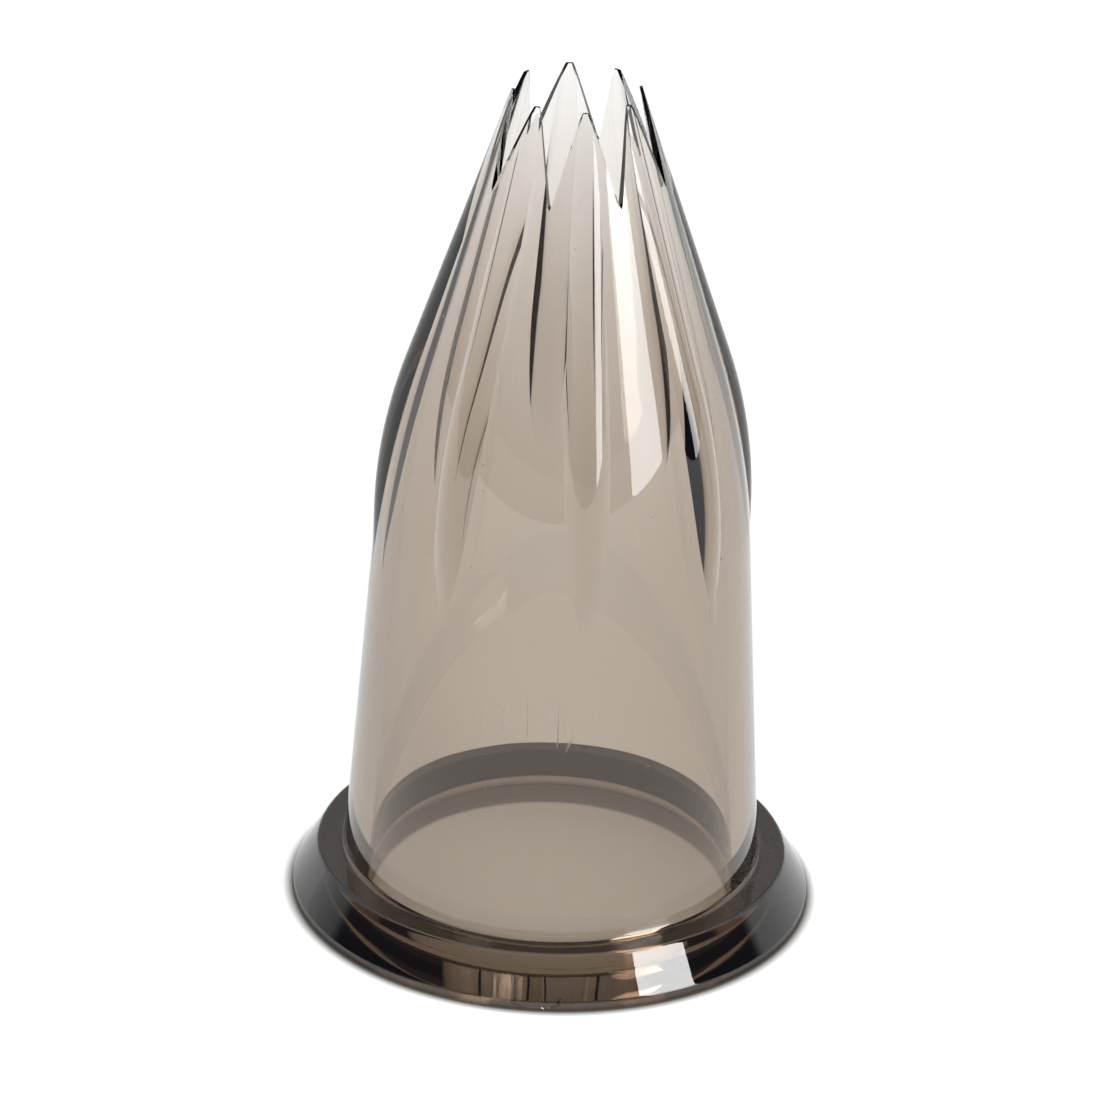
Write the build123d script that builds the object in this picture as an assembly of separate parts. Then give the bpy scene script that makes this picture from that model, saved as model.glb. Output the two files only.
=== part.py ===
from build123d import *
import os
from math import atan2, cos, pi, sin, tan

# Eight-tooth piping nozzle: one thin moulding of clear smoky plastic.
# It stands on its foot, +Z runs up the bore to the teeth, and the origin is
# the centre of the foot, on the surface that it stands on. Lengths are in mm.

# A run is how far an eased corner reaches along each of the two lines that meet in it

# Foot flange, with its sloping skirt
foot_diameter = 32.0
foot_band_height = 0.55
flange_top_diameter = 28.95
flange_height = 3.1
foot_edge_run = 0.12
flange_rim_run = 0.22
barrel_root_run = 0.4

# Barrel, measured where its straight lines would meet the ledge and the crown
barrel_root_diameter = 25.72
shoulder_diameter = 22.26
shoulder_height = 31.1
shoulder_bend_run = 6.1

# Crown
nozzle_height = 54.06
tip_diameter = 7.84
tooth_count = 8

# Ribs: round-backed bars that stand proud of the crown, one to each tooth
rib_back_radius = 1.9
rib_crest_diameter = 23.2
rib_bend_height = 31.6
rib_bend_run = 5.3
rib_foot_height = 20.0

# Bore, measured where its straight lines would meet
bore_foot_diameter = 22.9
bore_shoulder_diameter = 19.3
bore_shoulder_height = 30.9
bore_bend_run = 5.5
outlet_diameter = 7.44
bore_lip_run = 0.3

# V-shaped notches between the teeth
notch_bottom_height = 48.42
tooth_tip_width = 0.45
notch_root_width = 0.12

# Round pin mark, sunk in the underside of the flange near the front
pin_mark_diameter = 3.0
pin_mark_depth = 0.15
pin_mark_centre_radius = 14.0
pin_mark_azimuth = -100.0

# Every cut runs on by this much past the face that it opens
overrun = 2.0

pitch_angle = 360 / tooth_count


def slope_angle(lower, upper):
    """Inward lean of the line from one outline point up to the next, from upright, in radians."""
    return atan2(lower[0] - upper[0], upper[1] - lower[1])


def upright(points):
    """Outline points, (radius, height), as places in the XZ plane."""
    return [Vector(radius, 0, height) for radius, height in points]


def carry_on(start, end, length):
    """The point that lies length past end, on the line from start."""
    heading = slope_angle(start, end)
    return (end[0] - length * sin(heading), end[1] + length * cos(heading))


def flat(start, corner, end):
    """Cuts an outline's corner off straight."""
    return Line(start, end)


def curved(start, corner, end):
    """Rounds an outline's corner with an arc that meets both of its sides in line."""
    return TangentArc(start, end, tangent=corner - start)


def eased(points, corners):
    """Outline through the points, with a (run, shape) pair for each corner on the way."""
    places = upright(points)
    parts = []
    reached = places[0]
    for before, corner, after, (run, shape) in zip(places, places[1:], places[2:], corners):
        start = corner + (before - corner).normalized() * run
        end = corner + (after - corner).normalized() * run
        parts += [Line(reached, start), shape(start, corner, end)]
        reached = end
    return parts + [Line(reached, places[-1])]


def turned(outline, closing_points):
    """Solid of revolution between an outline and the axis."""
    closing = Polyline(*upright(closing_points))
    return revolve(make_face([*outline, closing]), Axis.Z)


def make_outside():
    """Foot, ledge, barrel and crown as one turned form, without the ribs."""
    foot = (foot_diameter / 2, 0)
    band_top = (foot_diameter / 2, foot_band_height)
    rim = (flange_top_diameter / 2, flange_height)
    root = (barrel_root_diameter / 2, flange_height)
    shoulder = (shoulder_diameter / 2, shoulder_height)
    tip = (tip_diameter / 2, nozzle_height)
    outline = eased(
        [foot, band_top, rim, root, shoulder, tip],
        [
            (foot_edge_run, flat),
            (flange_rim_run, flat),
            (barrel_root_run, flat),
            (shoulder_bend_run, curved),
        ],
    )
    return turned(outline, [tip, (0, nozzle_height), (0, 0), foot])


def make_rib():
    """One round bar, whose back follows the crest line from the barrel to a tooth tip."""
    crest_foot = (rib_crest_diameter / 2, rib_foot_height)
    crest_bend = (rib_crest_diameter / 2, rib_bend_height)
    crest_tip = (tip_diameter / 2, nozzle_height)
    lean = slope_angle(crest_bend, crest_tip)
    drop = rib_back_radius * tan(lean / 2)
    foot = (crest_foot[0] - rib_back_radius, crest_foot[1])
    bend = (foot[0], rib_bend_height - drop)
    tip = (
        crest_tip[0] - rib_back_radius * cos(lean),
        crest_tip[1] - rib_back_radius * sin(lean),
    )
    beyond = carry_on(bend, tip, rib_back_radius + overrun)
    spine = eased([foot, bend, beyond], [(rib_bend_run - drop, curved)])
    section = Plane(Vector(foot[0], 0, foot[1])) * Circle(rib_back_radius)
    return sweep(section, path=Wire(spine))


def make_bore():
    """The hollow inside, open at the foot and through the crown."""
    foot = (bore_foot_diameter / 2, 0)
    lip = (foot[0] + overrun, 0)
    shoulder = (bore_shoulder_diameter / 2, bore_shoulder_height)
    outlet = (outlet_diameter / 2, nozzle_height)
    above = carry_on(shoulder, outlet, overrun)
    outline = eased([lip, foot, shoulder, above], [(bore_lip_run, flat), (bore_bend_run, curved)])
    return turned(outline, [above, (0, above[1]), (0, -overrun), (lip[0], -overrun), lip])


def make_notch():
    """Wedge that cuts one V between two teeth, pointing out along +X."""
    spacing = tip_diameter * sin(pi / tooth_count)
    half_opening = (spacing - tooth_tip_width) / 2
    half_root = notch_root_width / 2
    depth = nozzle_height - notch_bottom_height
    flare = (half_opening - half_root) / depth
    half_top = half_opening + flare * overrun
    corners = [
        (0, -half_root, notch_bottom_height),
        (0, half_root, notch_bottom_height),
        (0, half_top, nozzle_height + overrun),
        (0, -half_top, nozzle_height + overrun),
    ]
    face = make_face(Polyline(*corners, close=True))
    return extrude(face, amount=barrel_root_diameter / 2, dir=(1, 0, 0))


def make_pin_mark():
    """Shallow round recess in the underside."""
    place = Rot(0, 0, pin_mark_azimuth) * Pos(pin_mark_centre_radius, 0, 0)
    return place * Cylinder(pin_mark_diameter / 2, 2 * pin_mark_depth)


def around(shape, start_angle):
    """Copies of a shape at every tooth, the first at start_angle from +X."""
    return [Rot(0, 0, start_angle + pitch_angle * turn) * shape for turn in range(tooth_count)]


def make_nozzle():
    """The whole moulding. A tooth stands on the -Y side, in the middle of the front."""
    front = -90
    above_tips = Pos(0, 0, nozzle_height) * Box(
        foot_diameter, foot_diameter, nozzle_height, align=(Align.CENTER, Align.CENTER, Align.MIN)
    )
    body = make_outside() + around(make_rib(), front)
    body = body - above_tips - make_bore()
    return body - around(make_notch(), front + pitch_angle / 2) - make_pin_mark()


nozzle_body = make_nozzle()
nozzle_body.label = "nozzle_body"

os.makedirs("parts", exist_ok=True)
export_step(nozzle_body, "parts/nozzle_body.step")
print("nozzle_body", "solids", len(nozzle_body.solids()), "volume", round(nozzle_body.volume, 2))
print("size", nozzle_body.bounding_box().size)
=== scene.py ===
# %% [markdown]
# A clear smoky piping nozzle
#
# A piping nozzle is the hard tip of a pastry bag. Icing is pushed through it,
# and the teeth at its mouth give the icing the section of a star. This one is
# a single thin moulding of clear, smoky grey-brown plastic, standing on its
# foot with its teeth up. The lesson builds its skin from formulas, gives it
# a tinted see-through plastic, and lights it as a product on a white table.
#
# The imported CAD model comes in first. It is the master for every size, and
# the skin built here has to stay inside its box.

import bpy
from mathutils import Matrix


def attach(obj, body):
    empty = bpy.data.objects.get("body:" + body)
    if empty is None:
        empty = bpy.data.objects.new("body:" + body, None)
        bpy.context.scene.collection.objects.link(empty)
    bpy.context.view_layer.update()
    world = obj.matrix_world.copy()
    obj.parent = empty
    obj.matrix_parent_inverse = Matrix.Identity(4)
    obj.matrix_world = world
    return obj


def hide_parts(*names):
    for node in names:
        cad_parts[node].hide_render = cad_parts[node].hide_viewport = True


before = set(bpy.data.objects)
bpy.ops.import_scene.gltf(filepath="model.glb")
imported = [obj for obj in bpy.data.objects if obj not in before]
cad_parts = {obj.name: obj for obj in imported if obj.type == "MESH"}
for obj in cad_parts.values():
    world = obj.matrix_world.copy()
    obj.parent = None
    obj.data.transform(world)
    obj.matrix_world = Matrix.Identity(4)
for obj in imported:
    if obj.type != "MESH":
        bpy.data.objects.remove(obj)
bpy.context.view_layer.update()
print("CAD nodes", list(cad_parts))

# %% [markdown]
# The unit
#
# Blender counts in metres, but a moulding is drawn in millimetres. So every
# size of the nozzle below is in millimetres, as on a maker's drawing, and it
# is multiplied by MM where it reaches Blender. The camera's place is worked
# out in the same way, while the table and the lamps are given in metres.

# %% Bring in the tools and the unit
import math

import bmesh
import bpy
import numpy as np
from mathutils import Quaternion, Vector
from mathutils.geometry import delaunay_2d_cdt

MM = 0.001

# %% [markdown]
# The round core
#
# Without its ribs, the outside of the barrel and crown is round: two straight
# slopes with a wide bend between them. A modeller could draw that outline and
# spin it with the Screw modifier, but the ribs would then be joined on with
# booleans, and clear plastic shows every stray facet of such a join. Here the
# radius is a formula of the height. A formula has no facets, and it also
# gives the exact direction that the surface faces.
#
# An outline is given by the corners that its straight lines would have, and
# by how far each rounded corner runs along its two lines.

# %% Radius of the round core
flange_height = 3.1
barrel_root_radius = 12.86
shoulder_radius = 11.13
shoulder_height = 31.1
shoulder_bend_run = 6.1
nozzle_height = 54.06
tip_radius = 3.92

barrel_root = (barrel_root_radius, flange_height)
shoulder = (shoulder_radius, shoulder_height)
tip = (tip_radius, nozzle_height)


def lean(lower, upper):
    """Inward lean of the line from one (radius, height) corner up to the next."""
    return math.atan2(lower[0] - upper[0], upper[1] - lower[1])


def bent_radius(height, corner, lean_below, lean_above, run):
    """Radius at a height of two lines that meet at a corner, with an arc that eases them."""
    arc = run / math.tan((lean_above - lean_below) / 2)
    start = corner[1] - run * math.cos(lean_below)
    end = corner[1] + run * math.cos(lean_above)
    centre_radius = corner[0] + run * math.sin(lean_below) - arc * math.cos(lean_below)
    centre_height = start - arc * math.sin(lean_below)
    below = corner[0] + (corner[1] - height) * math.tan(lean_below)
    above = corner[0] - (height - corner[1]) * math.tan(lean_above)
    round_part = centre_radius + np.sqrt(np.maximum(arc**2 - (height - centre_height) ** 2, 0))
    return np.where(height < start, below, np.where(height > end, above, round_part))


def core_radius(height):
    """Outside radius of the barrel and crown, without the ribs."""
    barrel_lean = lean(barrel_root, shoulder)
    crown_lean = lean(shoulder, tip)
    return bent_radius(height, shoulder, barrel_lean, crown_lean, shoulder_bend_run)


sample_heights = (5.0, 20.0, 35.0, 50.0)
print("core radius", [round(float(core_radius(height)), 2) for height in sample_heights])

# %% [markdown]
# The bore
#
# Icing flows through the bore, the hollow inside. It has the same kind of
# outline as the core, a little smaller, and what lies between the two is the
# wall. The wall matters more here than on an opaque object, because a tinted
# plastic darkens with every tenth of a millimetre that light has to cross.

# %% Radius of the bore
bore_foot_radius = 11.45
bore_shoulder_radius = 9.65
bore_shoulder_height = 30.9
bore_bend_run = 5.5
outlet_radius = 3.72

bore_foot = (bore_foot_radius, 0)
bore_shoulder = (bore_shoulder_radius, bore_shoulder_height)
outlet = (outlet_radius, nozzle_height)


def bore_radius(height):
    """Radius of the hollow inside."""
    lower_lean = lean(bore_foot, bore_shoulder)
    upper_lean = lean(bore_shoulder, outlet)
    return bent_radius(height, bore_shoulder, lower_lean, upper_lean, bore_bend_run)


for height in sample_heights:
    wall = float(core_radius(height) - bore_radius(height))
    print("wall at", height, "mm up is", round(wall, 2), "mm")

# %% [markdown]
# The ribs
#
# One rib runs down from each tooth. On the real moulding it is the back of a
# round bar that stands a little proud of the crown, so its edges draw two
# fine lines that close to a point low on the barrel. A sculptor could raise
# the ribs with a brush, but the formula keeps all eight alike: at an angle
# from the middle of its tooth, it gives the radius of the bar. The distance
# across the bar depends on that same radius, so the formula runs a few times
# over, until it settles.

# %% Radius of a rib
rib_back_radius = 1.9
rib_crest_radius = 11.6
rib_bend_height = 31.6
rib_bend_run = 5.3
settling_steps = 8

crest = (rib_crest_radius, rib_bend_height)
crest_lean = lean(crest, tip)


def rib_radius(turn, height):
    """Radius of the rib's bar at an angle from the middle of its tooth."""
    radius = core_radius(height)
    for _ in range(settling_steps):
        across = radius * np.sin(turn)
        back = np.sqrt(np.maximum(rib_back_radius**2 - across**2, 0))
        inset = rib_back_radius - back
        drop = inset * math.tan(crest_lean / 2)
        corner = (crest[0] - inset, crest[1] - drop)
        radius = bent_radius(height, corner, 0, crest_lean, rib_bend_run - drop) / np.cos(turn)
    return radius


crown_heights = (32.0, 40.0, 50.0)
for height in crown_heights:
    proud = float(rib_radius(0, height) - core_radius(height))
    print("rib at", height, "mm up stands proud by", round(proud, 2), "mm")

# %% [markdown]
# The edges of a rib
#
# The fine line beside a rib is where the bar sinks into the core. No short
# formula gives that angle, so the script searches for it: it halves the range
# that holds the angle, again and again, until the range is almost nothing.

# %% Find the edges of a rib
tooth_count = 8
half_pitch = math.pi / tooth_count
least_rib_angle = math.radians(1.5)
widest_rib_share = 0.9
most_rib_angle = widest_rib_share * half_pitch
halving_steps = 26


def bisect(is_below, low, high):
    """Halves the range between low and high until it closes on where is_below turns false."""
    for _ in range(halving_steps):
        middle = (low + high) / 2
        below = is_below(middle)
        low = np.where(below, middle, low)
        high = np.where(below, high, middle)
    return (low + high) / 2


def rib_edge_angle(height):
    """Angle from the middle of a tooth to the edge of its rib."""
    low = np.full_like(height, least_rib_angle)
    high = np.full_like(height, most_rib_angle)
    return bisect(lambda turn: rib_radius(turn, height) > core_radius(height), low, high)


edge_angles = np.degrees(rib_edge_angle(np.array(crown_heights)))
print("rib edges, degrees from the middle", [round(float(angle), 2) for angle in edge_angles])

# %% [markdown]
# A net that fits the form
#
# The skin is a net of rows and columns. Its columns follow the crest of each
# rib, its edges and the valley between two ribs, so that no face lies across
# an edge. An even net would need far more faces to show those lines as crisp.
#
# A column is known by its step: 0 on the crest, 1 on the edge of the rib and
# 2 in the middle of the valley, with a minus on the other side of the tooth.

# %% Lay out the columns
rib_columns = 10
valley_columns = 12
half_steps = [step / rib_columns for step in range(rib_columns)]
half_steps += [1 + step / valley_columns for step in range(valley_columns + 1)]
tooth_steps = [-step for step in half_steps[:0:-1]] + half_steps[:-1]

column_step = np.array(tooth_steps * tooth_count)
column_tooth = np.repeat(np.arange(tooth_count), len(tooth_steps))
column_total = len(column_step)


def column_turn(height):
    """Angle of each column from the middle of its tooth, at one height for each column."""
    edge = rib_edge_angle(height)
    step = np.abs(column_step)
    in_rib = step * edge
    in_valley = edge + (step - 1) * (half_pitch - edge)
    return np.sign(column_step) * np.where(step <= 1, in_rib, in_valley)


def wall_radius(height):
    """Outside radius at each column: on the rib's bar or on the round core."""
    core = core_radius(height)
    bar = np.maximum(rib_radius(column_turn(height), height), core)
    return np.where(np.abs(column_step) <= 1, bar, core)


print("columns", column_total)

# %% [markdown]
# The edge of the teeth
#
# The notches are cut by a V-shaped wedge that points out from the axis, so
# the height of the edge depends only on how far a point lies from the middle
# of the notch. A soft maximum rounds the bottom of the V and a soft minimum
# rounds the tooth's tip, as a mould does.

# %% Height of the edge
notch_bottom_height = 48.42
tooth_tip_width = 0.45
notch_root_width = 0.12
edge_round = 0.05

tooth_spacing = 2 * tip_radius * math.sin(half_pitch)
half_opening = (tooth_spacing - tooth_tip_width) / 2
half_root = notch_root_width / 2
notch_slope = (nozzle_height - notch_bottom_height) / (half_opening - half_root)


def soft_max(a, b, reach):
    """The larger of two values, with the change from one to the other rounded over reach."""
    return (a + b + np.sqrt((a - b) ** 2 + reach**2)) / 2


def edge_height(from_notch):
    """Height of the cut edge at a distance from the middle plane of a notch."""
    side = notch_bottom_height + notch_slope * (from_notch - half_root)
    floored = soft_max(side, notch_bottom_height, edge_round)
    return -soft_max(-floored, -nozzle_height, edge_round)


print("half a millimetre from a notch the edge is", round(float(edge_height(0.5)), 2), "mm up")

# %% [markdown]
# Each wall meets that edge at a height of its own, because the outside and
# the bore are not equally far from the axis. The same search as before finds
# where every column ends.

# %% Find where each column ends
search_reach = 1.0


def top_height(radius_at):
    """Height at which each column of a wall meets the edge of its tooth."""

    def is_below(height):
        from_notch = radius_at(height) * np.sin(half_pitch - np.abs(column_turn(height)))
        return edge_height(from_notch) > height

    low = np.full(column_total, notch_bottom_height - search_reach)
    high = np.full(column_total, nozzle_height)
    return bisect(is_below, low, high)


outer_top = top_height(wall_radius)
inner_top = top_height(bore_radius)
print("edge from", round(outer_top.min(), 2), "to", round(outer_top.max(), 2), "mm up")

# %% [markdown]
# The direction that the skin faces
#
# Clear plastic bends light by the direction of its surface, so a small error
# there shows as a ripple. Blender's own smooth shading averages the faces
# round a point, which is near but not exact. Here each direction comes from
# the slope of the radius, along the height and round the axis.

# %% Work out points and directions
SMALL = 1e-4


def in_space(radius, angle, height):
    """Points in millimetres from a radius, an angle and a height."""
    return np.stack([radius * np.cos(angle), radius * np.sin(angle), height], axis=-1)


def facing(radius_at, turn, height, angle):
    """Outward direction of the surface whose radius is radius_at(turn, height)."""
    along = (radius_at(turn, height + SMALL) - radius_at(turn, height - SMALL)) / (2 * SMALL)
    around = (radius_at(turn + SMALL, height) - radius_at(turn - SMALL, height)) / (2 * SMALL)
    spin = around / radius_at(turn, height)
    out_x = np.cos(angle) + spin * np.sin(angle)
    out_y = np.sin(angle) - spin * np.cos(angle)
    direction = np.stack([out_x, out_y, -along], axis=-1)
    return direction / np.linalg.norm(direction, axis=-1, keepdims=True)


def round_core(turn, height):
    """The core's radius, in the form that facing() asks for."""
    return core_radius(height)


def round_bore(turn, height):
    """The bore's radius, in the form that facing() asks for."""
    return bore_radius(height)


print("a point at the shoulder", in_space(shoulder_radius, 0.0, shoulder_height))

# %% [markdown]
# Rows up the outside
#
# Few rows are enough on the plain barrel, more where it bends, and most on
# the crown. Near the top the rows are stretched, so that the last one lies
# exactly on the V-shaped edge of the teeth.
#
# A face beside the line of a rib belongs to the rib or to the core, and it
# must face as its own side does, or the line would blur. So each row keeps
# two sets of directions, one for either side.

# %% Build the outside wall
barrel_root_run = 0.4
bend_rows_from = 24.0
stretched_from = 38.0
barrel_row_count = 10
bend_row_count = 34
crown_row_count = 44
front_angle = math.radians(-90)
tooth_angle = front_angle + 2 * half_pitch * column_tooth

root_top = flange_height + barrel_root_run
barrel_rows = np.linspace(root_top, bend_rows_from, barrel_row_count, endpoint=False)
bend_rows = np.linspace(bend_rows_from, stretched_from, bend_row_count, endpoint=False)
crown_rows = np.linspace(stretched_from, nozzle_height, crown_row_count)


def on_row(row, top):
    """Height, turn from the tooth's middle, and angle round the axis, for each column of a row."""
    share = (row - stretched_from) / (nozzle_height - stretched_from)
    height = np.where(row < stretched_from, row, stretched_from + share * (top - stretched_from))
    turn = column_turn(height)
    return height, turn, tooth_angle + turn


outer_points, core_facing, rib_facing = [], [], []
for row in np.concatenate([barrel_rows, bend_rows, crown_rows]):
    height, turn, angle = on_row(row, outer_top)
    outer_points.append(in_space(wall_radius(height), angle, height))
    core_facing.append(facing(round_core, turn, height, angle))
    proud = (rib_radius(turn, height) >= core_radius(height) - SMALL)[:, None]
    rib_facing.append(np.where(proud, facing(rib_radius, turn, height, angle), core_facing[-1]))
print("rows outside", len(outer_points))

# %% [markdown]
# Rows down the bore
#
# The bore is round all the way, so one set of directions is enough. They
# point in towards the axis, because that is where the air is. The rows run
# down from the teeth, which makes the net one long sheet: up the outside,
# over the edge and down the inside.

# %% Build the bore wall
bore_lip_run = 0.3
lip_rows_to = 4.0
lower_bore_row_count = 6

lower_rows = np.linspace(lip_rows_to, bend_rows_from, lower_bore_row_count, endpoint=False)
inner_points, inner_facing = [], []
for row in np.concatenate([[bore_lip_run], lower_rows, bend_rows, crown_rows])[::-1]:
    height, turn, angle = on_row(row, inner_top)
    inner_points.append(in_space(bore_radius(height), angle, height))
    inner_facing.append(-facing(round_bore, turn, height, angle))
print("rows inside", len(inner_points))

# %% [markdown]
# The foot
#
# The foot is a flange with a short upright band, a sloping skirt and a narrow
# flat ledge. It is spun from an outline. A Bevel modifier could ease its
# corners, but a clear edge shows how a bevel's faces turn. Here each corner
# is a curve that leaves one line and joins the next without a kink, so its
# direction turns smoothly and the edge catches a thin line of light.

# %% Two helpers for spun outlines
corner_steps = 6


def eased_corner(before, corner, after, run):
    """Outline points and facing directions round a corner, from one line on to the next."""
    before, corner, after = (np.array(point, float) for point in (before, corner, after))
    start = corner + (before - corner) / np.linalg.norm(before - corner) * run
    end = corner + (after - corner) / np.linalg.norm(after - corner) * run
    outline = []
    for share in np.linspace(0, 1, corner_steps):
        point = (1 - share) ** 2 * start + 2 * share * (1 - share) * corner + share**2 * end
        along = (1 - share) * (corner - start) + share * (end - corner)
        along = along / np.linalg.norm(along)
        outline.append((point, (along[1], -along[0])))
    return outline


def spun(outline):
    """Rows of points and directions, from outline points turned round the axis."""
    every_column = np.ones(column_total)
    angle = tooth_angle + column_turn(every_column * stretched_from)
    rows, directions = [], []
    for (radius, height), (out, up) in outline:
        rows.append(in_space(radius * every_column, angle, height * every_column))
        directions.append(in_space(out * every_column, angle, up * every_column))
    return rows, directions


print("points on each eased corner", corner_steps)

# %% Spin the foot
foot_radius = 16.0
foot_band_height = 0.55
flange_top_radius = 14.475
foot_edge_run = 0.12
flange_rim_run = 0.22

# Only the direction towards an inset point counts, not how far in it lies
flat_inset = 1.0

under_foot = (foot_radius - flat_inset, 0)
foot = (foot_radius, 0)
band_top = (foot_radius, foot_band_height)
flange_rim = (flange_top_radius, flange_height)
foot_outline = eased_corner(under_foot, foot, band_top, foot_edge_run)
foot_outline += eased_corner(foot, band_top, flange_rim, foot_edge_run)
foot_outline += eased_corner(band_top, flange_rim, barrel_root, flange_rim_run)
foot_outline += eased_corner(flange_rim, barrel_root, shoulder, barrel_root_run)
foot_points, foot_facing = spun(foot_outline)
print("rows on the foot", len(foot_points))

# %% [markdown]
# The lip of the bore
#
# Where the bore opens in the underside, its edge is eased like the others.
# No view shows it directly but the one from below, yet it shows through the
# clear wall as a thin ring. It is spun by the same two helpers.

# %% Spin the lip
under_lip = (bore_foot_radius + flat_inset, 0)
lip_points, lip_facing = spun(eased_corner(bore_shoulder, bore_foot, under_lip, bore_lip_run))
print("rows on the lip", len(lip_points))

# %% [markdown]
# Sewing the rows together
#
# Two neighbouring rows give a ring of four-sided faces. Each corner of each
# face keeps its own facing direction, so two faces that share a point can
# still face different ways, which is what makes the line of a rib crisp.

# %% Make faces from the rows
point_groups, faces, corner_facings = [], [], []
next_step = np.roll(column_step, -1)
face_on_rib = (np.abs(column_step) <= 1) & (np.abs(next_step) <= 1)


def add_faces(points, polygons, facings):
    """Adds polygons, as numbers of the given points, with a direction for each face corner."""
    base = sum(len(group) for group in point_groups)
    point_groups.append(np.array(points, float))
    faces.extend([[base + number for number in polygon] for polygon in polygons])
    corner_facings.append(np.array(facings, float).reshape(-1, 3))


def round_ring(lower, upper):
    """The four corners of every face between two rows, column by column."""
    lower_next = np.roll(lower, -1, axis=0)
    upper_next = np.roll(upper, -1, axis=0)
    return np.stack([lower, lower_next, upper_next, upper], axis=1)


def add_sheet(rows, directions, rib_directions=None):
    """Adds a ring of faces between each pair of rows."""
    polygons, facings = [], []
    for row in range(len(rows) - 1):
        numbers = row * column_total + np.arange(column_total)
        polygons.extend(round_ring(numbers, numbers + column_total).tolist())
        ring = round_ring(directions[row], directions[row + 1])
        if rib_directions:
            rib_ring = round_ring(rib_directions[row], rib_directions[row + 1])
            ring = np.where(face_on_rib[:, None, None], rib_ring, ring)
        facings.append(ring)
    add_faces(np.concatenate(rows), polygons, np.concatenate(facings))


add_sheet(foot_points + outer_points[:1], foot_facing + core_facing[:1])
add_sheet(outer_points, core_facing, rib_facing)
add_sheet(inner_points, inner_facing)
add_sheet(inner_points[-1:] + lip_points, inner_facing[-1:] + lip_facing)
print("faces of the walls and the foot", len(faces))

# %% [markdown]
# The cut edge
#
# The edge of the teeth is one ring of narrow faces from the outside wall to
# the bore. They are flat and meet both walls at a sharp corner, as the real
# edge does, so each face simply faces square off its own two diagonals.

# %% Close the top edge
edge_corners = round_ring(outer_points[-1], inner_points[0])
one_diagonal = edge_corners[:, 2] - edge_corners[:, 0]
other_diagonal = edge_corners[:, 3] - edge_corners[:, 1]
edge_facing = np.cross(one_diagonal, other_diagonal)
edge_facing /= np.linalg.norm(edge_facing, axis=1, keepdims=True)
columns = np.arange(column_total)
add_faces(
    np.concatenate([outer_points[-1], inner_points[0]]),
    round_ring(columns, column_total + columns).tolist(),
    np.repeat(edge_facing, edge_corners.shape[1], axis=0),
)
print("faces with the edge", len(faces))

# %% [markdown]
# The underside
#
# The underside is a flat ring with a shallow round mark in it, left by the
# pin that pushes the moulding out of its mould. A flat face may be cut up in
# any way, so the ring round the mark is filled with triangles. Delaunay's
# method picks them, and it keeps to the circles that it is given.

# %% Draw the circles of the underside
pin_mark_radius = 1.5
pin_mark_depth = 0.05
pin_mark_centre_radius = 14.0
pin_mark_angle = math.radians(-100)
circle_steps = 64

circle_angles = np.linspace(0, 2 * math.pi, circle_steps, endpoint=False)
outward = np.stack([np.cos(circle_angles), np.sin(circle_angles)], axis=1)
mark_centre = pin_mark_centre_radius * np.array([math.cos(pin_mark_angle), math.sin(pin_mark_angle)])
mark_circle = mark_centre + pin_mark_radius * outward
print("pin mark centre in mm", mark_centre.round(2))

# %% Fill the underside
TRIANGLES_INSIDE = 1
fill_tolerance = 1e-7


def closed_edges(start, count):
    """Number pairs that close a circle of points."""
    return [(start + step, start + (step + 1) % count) for step in range(count)]


def add_flat_faces(points, polygons):
    """Adds polygons that all face straight down."""
    corner_total = sum(len(polygon) for polygon in polygons)
    add_faces(points, polygons, np.tile((0, 0, -1), (corner_total, 1)))


flat_points = np.concatenate([foot_points[0][:, :2], lip_points[-1][:, :2], mark_circle])
flat_edges = closed_edges(0, column_total) + closed_edges(column_total, column_total)
flat_edges += closed_edges(2 * column_total, circle_steps)
flat_places = [Vector(point) for point in flat_points]
filled = delaunay_2d_cdt(flat_places, flat_edges, [], TRIANGLES_INSIDE, fill_tolerance)
filled_points = np.array([tuple(point) for point in filled[0]])
triangles = []
for triangle in filled[2]:
    middle = filled_points[list(triangle)].mean(axis=0)
    # This is a little less than the ring of the lip, so thin slivers stay just inside that ring
    in_bore = np.linalg.norm(middle) < bore_foot_radius
    in_mark = np.linalg.norm(middle - mark_centre) < pin_mark_radius
    if not in_bore and not in_mark:
        triangles.append(list(triangle)[::-1])
add_flat_faces([(x, y, 0) for x, y in filled_points], triangles)
print("triangles underneath", len(triangles))

# %% Sink the pin mark
mark_rim = [(x, y, 0) for x, y in mark_circle]
mark_floor = [(x, y, pin_mark_depth) for x, y in mark_circle]
add_flat_faces(mark_floor, [list(range(circle_steps))[::-1]])

steps = np.arange(circle_steps)
mark_side = round_ring(circle_steps + steps, steps).tolist()
inward = np.concatenate([-outward, np.zeros((circle_steps, 1))], axis=1)
add_faces(mark_rim + mark_floor, mark_side, round_ring(inward, inward))
print("faces in all", len(faces))

# %% [markdown]
# One skin
#
# The sheets touch but do not yet share their points. Welding joins them into
# one skin, as a plastic with a tinted inside needs: light that enters at one
# face has to leave at another. The exact directions ride through the weld as
# an attribute on the face corners and then become custom normals.

# %% Weld the sheets
weld_distance = 1e-7

mesh = bpy.data.meshes.new("nozzle_skin")
mesh.from_pydata((np.concatenate(point_groups) * MM).tolist(), [], faces)
exact = mesh.attributes.new("exact_facing", "FLOAT_VECTOR", "CORNER")
exact.data.foreach_set("vector", np.concatenate(corner_facings).astype(np.float32).ravel())

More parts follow.
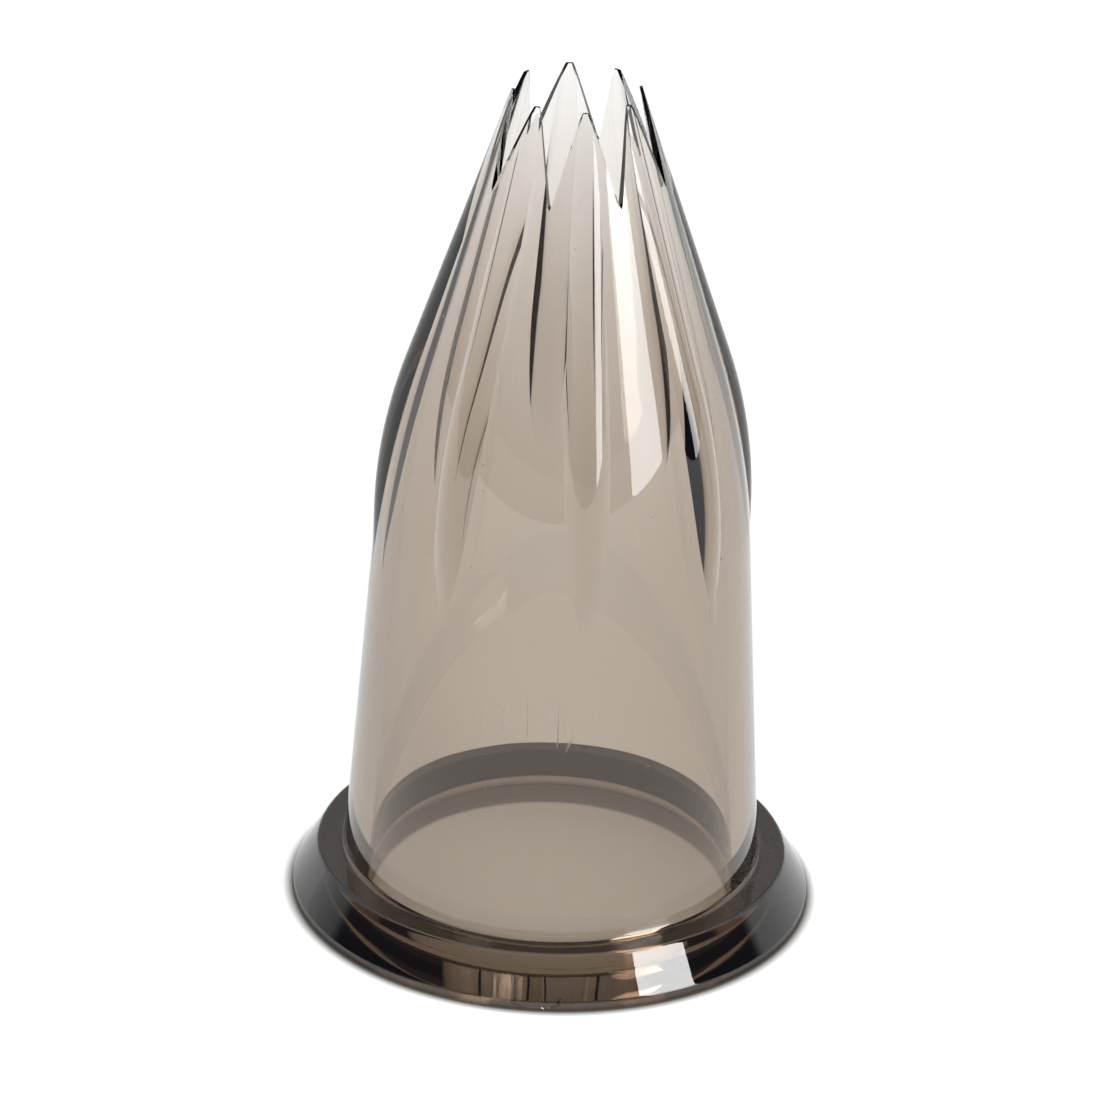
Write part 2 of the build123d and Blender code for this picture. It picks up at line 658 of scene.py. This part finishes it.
net = bmesh.new()
net.from_mesh(mesh)
bmesh.ops.remove_doubles(net, verts=net.verts, dist=weld_distance)
uneven_edges = sum(1 for edge in net.edges if not edge.is_manifold)
volume = net.calc_volume(signed=True) / MM**3
net.to_mesh(mesh)
net.free()
print("vertices", len(mesh.vertices), "volume in mm3", round(volume, 1))
print("edges without exactly two faces", uneven_edges)

# %% Give every face corner its exact direction
directions = np.zeros(len(mesh.loops) * 3, np.float32)
mesh.attributes["exact_facing"].data.foreach_get("vector", directions)
mesh.attributes.remove(mesh.attributes["exact_facing"])
mesh.polygons.foreach_set("use_smooth", [True] * len(mesh.polygons))
mesh.normals_split_custom_set(directions.reshape(-1, 3).tolist())
print("face corners", len(mesh.loops))

# %% [markdown]
# Into the frame
#
# The skin takes the place of the CAD nozzle in the picture. The CAD solid
# stays behind it as the shape that things bump into, so the skin rides on the
# same body.

# %% Put the skin on its body
BODY = "root"
NODE = "nozzle_body"

nozzle = bpy.data.objects.new("nozzle", mesh)
bpy.context.scene.collection.objects.link(nozzle)
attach(nozzle, BODY)
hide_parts(NODE)
print("the skin rides on", BODY, "and replaces", NODE)

# %% [markdown]
# Writing shaders in code
#
# A material is a tree of nodes. Two helpers keep that short: one opens an
# empty tree, the other adds a node. An input of a node takes a plain value,
# or the output of an earlier node, which is then linked to it.

# %% Two helpers for materials
def new_material(name):
    """An empty node material and its node tree."""
    material = bpy.data.materials.new(name)
    material.use_nodes = True
    material.node_tree.nodes.clear()
    return material, material.node_tree


def add_node(tree, kind, inputs, **settings):
    """Adds a shader node. Inputs go by name, or by number where two share a name."""
    node = tree.nodes.new("ShaderNode" + kind)
    for name, value in settings.items():
        setattr(node, name, value)
    for socket, value in inputs.items():
        if isinstance(value, bpy.types.NodeSocket):
            tree.links.new(value, node.inputs[socket])
        else:
            node.inputs[socket].default_value = value
    return node


plastic, plastic_tree = new_material("smoky_plastic")
print("material", plastic.name)

# %% [markdown]
# Moulding waves
#
# A moulding shrinks a little unevenly as it cools, so its polished faces have
# very shallow waves. They could be modelled, but a hundredth of a millimetre
# needs no geometry: soft noise feeds a Bump node, which tilts the surface
# only for the light. Object coordinates keep the waves fixed to the plastic.

# %% Waves in the surface
wave_length = 6.0
wave_depth = 0.01

on_plastic = add_node(plastic_tree, "TexCoord", {}).outputs["Object"]
waves = add_node(
    plastic_tree,
    "TexNoise",
    {"Vector": on_plastic, "Scale": 1 / (wave_length * MM), "Detail": 1},
)
ripple = add_node(
    plastic_tree,
    "Bump",
    {"Strength": 1, "Distance": wave_depth * MM, "Height": waves.outputs["Fac"]},
)
print("waves", wave_length, "mm long and", wave_depth, "mm deep")

# %% [markdown]
# Hairline scratches
#
# A clear plastic nozzle picks up fine scratches from the drawer and the
# washing-up. Where soft noise crosses its middle value it draws thin winding
# lines, and noise stretched along the nozzle draws them nearly straight. A
# second, broader noise keeps them to a few worn places.

# %% Scratches
scratch_spacing = 3.0
scratch_stretch = 0.12
scratch_turn = (0.3, 0.2, 0)
scratch_width = 0.004
noise_middle = 0.5
worn_length = 9.0
worn_from = 0.62
worn_full = 0.7

stretched = add_node(
    plastic_tree,
    "Mapping",
    {"Vector": on_plastic, "Rotation": scratch_turn, "Scale": (1, 1, scratch_stretch)},
)
grain = add_node(
    plastic_tree,
    "TexNoise",
    {"Vector": stretched.outputs["Vector"], "Scale": 1 / (scratch_spacing * MM), "Detail": 0},
)
off_middle = add_node(
    plastic_tree,
    "Math",
    {0: grain.outputs["Fac"], 1: noise_middle},
    operation="SUBTRACT",
)
off_line = add_node(plastic_tree, "Math", {0: off_middle.outputs["Value"]}, operation="ABSOLUTE")
hairline = add_node(
    plastic_tree,
    "MapRange",
    {"Value": off_line.outputs["Value"], "From Min": scratch_width, "From Max": 0},
)
wear = add_node(plastic_tree, "TexNoise", {"Vector": on_plastic, "Scale": 1 / (worn_length * MM)})
worn_places = add_node(
    plastic_tree,
    "MapRange",
    {"Value": wear.outputs["Fac"], "From Min": worn_from, "From Max": worn_full},
)
scratches = add_node(
    plastic_tree,
    "Math",
    {0: hairline.outputs["Result"], 1: worn_places.outputs["Result"]},
    operation="MULTIPLY",
)
print("scratches about", scratch_spacing, "mm apart where the plastic is worn")

# %% [markdown]
# Specks, and how rough they are
#
# A few tiny specks of dust sit on the surface. A Voronoi texture scatters
# points evenly, and only what lies very near a point counts as a speck. Specks
# and scratches are simply rough spots in the polish, so both raise the
# roughness and nothing else.

# %% Specks and roughness
speck_spacing = 3.5
speck_share = 0.03
speck_core_share = 0.7
plastic_roughness = 0.015
mark_roughness = 0.5

dots = add_node(plastic_tree, "TexVoronoi", {"Vector": on_plastic, "Scale": 1 / (speck_spacing * MM)})
specks = add_node(
    plastic_tree,
    "MapRange",
    {
        "Value": dots.outputs["Distance"],
        "From Min": speck_share,
        "From Max": speck_core_share * speck_share,
    },
)
marks = add_node(
    plastic_tree,
    "Math",
    {0: scratches.outputs["Value"], 1: specks.outputs["Result"]},
    operation="MAXIMUM",
)
roughness = add_node(
    plastic_tree,
    "MapRange",
    {"Value": marks.outputs["Value"], "To Min": plastic_roughness, "To Max": mark_roughness},
)
print("specks", round(2 * speck_share * speck_spacing, 2), "mm across")

# %% [markdown]
# Smoky clear plastic
#
# The tint sits in the plastic, not on it: a thick place such as the flange is
# nearly black, and a thin tooth is almost clear. A coloured transparent shader
# would tint every wall alike. So the surface itself is colourless, and a
# Volume Absorption shader takes light away along the path inside. It takes
# most blue and least red, which gives the warm grey-brown. The index of
# refraction is that of clear styrene plastic.

# %% Surface and tint
WHITE = (1, 1, 1, 1)
plastic_ior = 1.57
absorbed_tint = (0.35, 0.2125, 0.06, 1)
absorption_density = 425.0

surface = add_node(
    plastic_tree,
    "BsdfPrincipled",
    {
        "Base Color": WHITE,
        "Roughness": roughness.outputs["Result"],
        "IOR": plastic_ior,
        "Transmission Weight": 1,
        "Normal": ripple.outputs["Normal"],
    },
)
tint = add_node(
    plastic_tree,
    "VolumeAbsorption",
    {"Color": absorbed_tint, "Density": absorption_density},
)
add_node(
    plastic_tree,
    "OutputMaterial",
    {"Surface": surface.outputs["BSDF"], "Volume": tint.outputs["Volume"]},
)
mesh.materials.append(plastic)
print("absorbed per mm", [round(absorption_density * (1 - c) * MM, 3) for c in absorbed_tint[:3]])

# %% [markdown]
# The camera
#
# The camera stands where the photographer's stood, worked out from the circle
# of the foot and the teeth. Seen from there, the front tooth is turned a little
# to the right, and the picture leans a little. A long lens from half a metre
# keeps the upright form from spreading. Directions round the nozzle are given
# as the camera sees them, to its right and up.

# %% Places as the camera sees them
tooth_turn = math.radians(7.83)
seen_from = front_angle - tooth_turn


def seen_at(right, up, distance, centre_height=0.0):
    """A place round the nozzle: degrees to the camera's right and up, and a distance."""
    angle = seen_from + math.radians(right)
    rise = math.radians(up)
    flat = distance * math.cos(rise)
    return Vector(
        (flat * math.cos(angle), flat * math.sin(angle), centre_height + distance * math.sin(rise))
    )


print("the front tooth is turned", round(math.degrees(tooth_turn), 2), "degrees from the camera")

# %% Place the camera
camera_back = 467.5 * MM
camera_up = 255.07 * MM
aim_height = 23.292 * MM
aim_left = 0.695 * MM
camera_lens = 279.18
camera_roll = math.radians(1.98)

camera = bpy.data.objects.new("camera", bpy.data.cameras.new("camera"))
bpy.context.scene.collection.objects.link(camera)
camera.data.lens = camera_lens
camera.data.sensor_width = 36
camera.data.clip_start = 0.01
camera.data.clip_end = 100
camera.location = seen_at(0, 0, camera_back, camera_up)
look = (camera.location - seen_at(-90, 0, aim_left, aim_height)).to_track_quat("Z", "Y")
camera.rotation_mode = "QUATERNION"
camera.rotation_quaternion = look @ Quaternion((0, 0, 1), camera_roll)
bpy.context.scene.camera = camera
bpy.context.scene.view_settings.view_transform = "Standard"
print("camera at", [round(v / MM, 1) for v in camera.location], "mm")

# %% [markdown]
# The white table
#
# A product stands on white paper that is lit until it is plain white. Raising
# the lamps that far would wash out the plastic, so most of the white is
# Emission in the table's material, and a weak Diffuse part beside it still
# takes the nozzle's shadow. The camera sees that white, and so do rays that
# went through the plastic or were mirrored in it.

# %% White that keeps a shadow
plain_share = 0.88
shadow_share = 0.25
shadow_grey = (shadow_share, shadow_share, shadow_share, 1)

table_white, table_tree = new_material("white_table")
plain_white = add_node(table_tree, "Emission", {"Color": WHITE, "Strength": plain_share})
shade = add_node(table_tree, "BsdfDiffuse", {"Color": shadow_grey})
shown = add_node(table_tree, "AddShader", {0: plain_white.outputs["Emission"], 1: shade.outputs["BSDF"]})
print("white", plain_share, "of its own and", shadow_share, "from the lamps")

# %% [markdown]
# The paper under the nozzle
#
# Little light reaches the paper under the flange, and what does has come
# through the plastic and is tinted. In the bore more of it comes down through
# the clear walls. Light that was bent on its way to the paper is hard for a
# path tracer to find, and it would come out noisy. So both places get a faint
# warm glow instead: a dim one under the flange, and a stronger one inside the
# bore, on top of plain paper.

# %% Paper in the nozzle's shade
passed_tint = (1, 0.9, 0.76, 1)
shaded_share = 0.09
passed_share = 0.26
paper_colour = (0.9, 0.9, 0.9, 1)
bore_edge_blur = 0.02

on_table = add_node(table_tree, "TexCoord", {}).outputs["Object"]
away = add_node(table_tree, "VectorMath", {0: on_table}, operation="LENGTH").outputs["Value"]
bore_edge = bore_foot_radius * MM
in_bore_share = add_node(
    table_tree,
    "MapRange",
    {
        "Value": away,
        "From Min": (1 + bore_edge_blur) * bore_edge,
        "From Max": (1 - bore_edge_blur) * bore_edge,
    },
)
shaded_paper = add_node(table_tree, "Emission", {"Color": passed_tint, "Strength": shaded_share})
plain_paper = add_node(table_tree, "BsdfDiffuse", {"Color": paper_colour})
passed_light = add_node(table_tree, "Emission", {"Color": passed_tint, "Strength": passed_share})
bore_paper = add_node(
    table_tree,
    "AddShader",
    {0: plain_paper.outputs["BSDF"], 1: passed_light.outputs["Emission"]},
)
under_nozzle = add_node(
    table_tree,
    "MixShader",
    {
        "Fac": in_bore_share.outputs["Result"],
        1: shaded_paper.outputs["Emission"],
        2: bore_paper.outputs["Shader"],
    },
)
print("glow under the flange", shaded_share, "and in the bore", passed_share)

# %% [markdown]
# Which white shows where
#
# The bright white starts just outside the foot, so that it doesn't shine up
# into the flange. Rays that bounced off a matt surface don't see it either,
# or the table would act as a lamp. From below, the table is see-through, so
# the underside of the nozzle can be looked at.

# %% Put the table's material together
white_edge_blur = 0.04
shade_start = foot_radius * MM
shade_end = (1 + white_edge_blur) * shade_start

clear_of_foot = add_node(
    table_tree,
    "MapRange",
    {"Value": away, "From Min": shade_start, "From Max": shade_end},
)
bounced = add_node(table_tree, "LightPath", {}).outputs["Is Diffuse Ray"]
not_bounced = add_node(table_tree, "Math", {0: 1, 1: bounced}, operation="SUBTRACT")
sees_white = add_node(
    table_tree,
    "Math",
    {0: clear_of_foot.outputs["Result"], 1: not_bounced.outputs["Value"]},
    operation="MULTIPLY",
)
from_above = add_node(
    table_tree,
    "MixShader",
    {"Fac": sees_white.outputs["Value"], 1: under_nozzle.outputs["Shader"], 2: shown.outputs["Shader"]},
)
from_below = add_node(table_tree, "BsdfTransparent", {})
either_side = add_node(
    table_tree,
    "MixShader",
    {
        "Fac": add_node(table_tree, "NewGeometry", {}).outputs["Backfacing"],
        1: from_above.outputs["Shader"],
        2: from_below.outputs["BSDF"],
    },
)
add_node(table_tree, "OutputMaterial", {"Surface": either_side.outputs["Shader"]})
print("bright white from", round(shade_end / MM, 2), "mm out")

# %% [markdown]
# The table's shape
#
# The table is one flat face, a hair below the foot so that the two never lie
# in the same plane. It ends a little way in front of the nozzle, because more
# white paper there would be mirrored in the skirt, and it reaches far back
# and far to the sides.

# %% Make the table
table_front = 0.27
table_back = 0.9
table_half_width = 1.2
table_gap = 0.03 * MM

table_corners = []
for right, distance, side in (
    (0, table_front, -1),
    (0, table_front, 1),
    (180, table_back, 1),
    (180, table_back, -1),
):
    spot = seen_at(right, 0, distance) + seen_at(90, 0, side * table_half_width)
    table_corners.append((spot.x, spot.y, -table_gap))

table_top = bpy.data.meshes.new("table")
table_top.from_pydata(table_corners, [], [(0, 1, 2, 3)])
table_top.materials.append(table_white)
table = bpy.data.objects.new("table", table_top)
bpy.context.scene.collection.objects.link(table)
print("table", table_half_width * 2, "m wide, normal", [round(v) for v in table_top.polygons[0].normal])

# %% [markdown]
# The room
#
# Clear plastic shows little but what is round it. White paper stands at both
# sides of the nozzle, and behind it too, where it is further off and dimmer.
# The room in front is dark, and the near-black skirt and the dark lines beside
# the ribs mirror it. All this could be built from cards and walls, but the
# world's own colour, given by the direction alone, does it without noise.

# %% Colours round the room
bright_paper = (1.15, 1.15, 1.15, 1)
near_paper = (1.0, 1.0, 1.0, 1)
paper_edge = (0.6, 0.6, 0.62, 1)
far_paper = (0.44, 0.44, 0.46, 1)
dark_room = (0.1, 0.1, 0.13, 1)

# Degrees to the camera's right, and the colour there
room_stops = [
    (-180, far_paper),
    (-152, far_paper),
    (-138, bright_paper),
    (-107, paper_edge),
    (-102, dark_room),
    (101, dark_room),
    (106, near_paper),
    (135, bright_paper),
    (152, far_paper),
    (180, far_paper),
]
dark_bearings = [right for right, colour in room_stops if colour == dark_room]
print("the room is dark from", min(dark_bearings), "to", max(dark_bearings), "degrees")

# %% [markdown]
# The world reads those colours from a Color Ramp. The direction of a ray is
# first turned to the camera's bearing, and its angle round the upright axis
# then picks the place on the ramp.

# %% Paint the walls of the room
HALF_TURN = 180

room = bpy.data.worlds.new("room")
bpy.context.scene.world = room
room.use_nodes = True
room_tree = room.node_tree
room_tree.nodes.clear()

ray_direction = add_node(room_tree, "TexCoord", {}).outputs["Generated"]
camera_turned = add_node(
    room_tree,
    "VectorRotate",
    {"Vector": ray_direction, "Angle": tooth_turn},
    rotation_type="Z_AXIS",
)
axes = add_node(room_tree, "SeparateXYZ", {"Vector": camera_turned.outputs["Vector"]})
forward = add_node(room_tree, "Math", {0: axes.outputs["Y"], 1: -1}, operation="MULTIPLY")
bearing = add_node(
    room_tree,
    "Math",
    {0: axes.outputs["X"], 1: forward.outputs["Value"]},
    operation="ARCTAN2",
)
round_share = add_node(
    room_tree,
    "MapRange",
    {"Value": bearing.outputs["Value"], "From Min": -math.pi, "From Max": math.pi},
)
walls = add_node(room_tree, "ValToRGB", {"Fac": round_share.outputs["Result"]})

ramp = walls.color_ramp.elements
for stop, (right, colour) in zip(ramp, (room_stops[0], room_stops[-1])):
    stop.position = (right + HALF_TURN) / (2 * HALF_TURN)
    stop.color = colour
for right, colour in room_stops[1:-1]:
    stop = ramp.new((right + HALF_TURN) / (2 * HALF_TURN))
    stop.color = colour
print("room stops", len(ramp))

# %% [markdown]
# A white ceiling closes the room from above. To the camera itself the whole
# room is plain white, by the Light Path node, because the picture has a white
# background and the brown shades in the plastic should stand alone on it.

# %% Close the room
COLOUR_A, COLOUR_B, COLOUR_RESULT = 6, 7, 2
ceiling_from = math.sin(math.radians(50))
ceiling_full = math.sin(math.radians(60))

overhead = add_node(
    room_tree,
    "MapRange",
    {"Value": axes.outputs["Z"], "From Min": ceiling_from, "From Max": ceiling_full},
)
seen = add_node(
    room_tree,
    "Mix",
    {"Factor": overhead.outputs["Result"], COLOUR_A: walls.outputs["Color"], COLOUR_B: WHITE},
    data_type="RGBA",
)
is_camera = add_node(room_tree, "LightPath", {}).outputs["Is Camera Ray"]
to_camera = add_node(
    room_tree,
    "Mix",
    {"Factor": is_camera, COLOUR_A: seen.outputs[COLOUR_RESULT], COLOUR_B: WHITE},
    data_type="RGBA",
)
light = add_node(room_tree, "Background", {"Color": to_camera.outputs[COLOUR_RESULT]})
add_node(room_tree, "OutputWorld", {"Surface": light.outputs["Background"]})
print("world nodes", len(room_tree.nodes))

# %% [markdown]
# The lamps
#
# Two soft upright panels hang one above the other at the right. The low one
# is mirrored in the sloping skirt as a pale patch, and the high one in the
# valley of the crown as a long bright stripe. Area lights do this best,
# because their size sets the size of the patch, and their power how white it
# is.

# %% Hang the two panels
lamp_right = 55
lamp_distance = 0.9
lamp_width = 0.37
lit_height = 0.02

# Name, degrees up, height in metres and power in watts
panels = (("low_panel", 6.5, 0.334, 2.7), ("high_panel", 30, 0.416, 6.3))

for name, up, panel_height, power in panels:
    lamp = bpy.data.objects.new(name, bpy.data.lights.new(name, "AREA"))
    bpy.context.scene.collection.objects.link(lamp)
    lamp.data.shape = "RECTANGLE"
    lamp.data.size = lamp_width
    lamp.data.size_y = panel_height
    lamp.data.energy = power
    lamp.location = seen_at(lamp_right, up, lamp_distance, lit_height)
    lamp.rotation_euler = (lamp.location - Vector((0, 0, lit_height))).to_track_quat("Z", "Y").to_euler()
    print(name, power, "W from", [round(v, 2) for v in lamp.location])
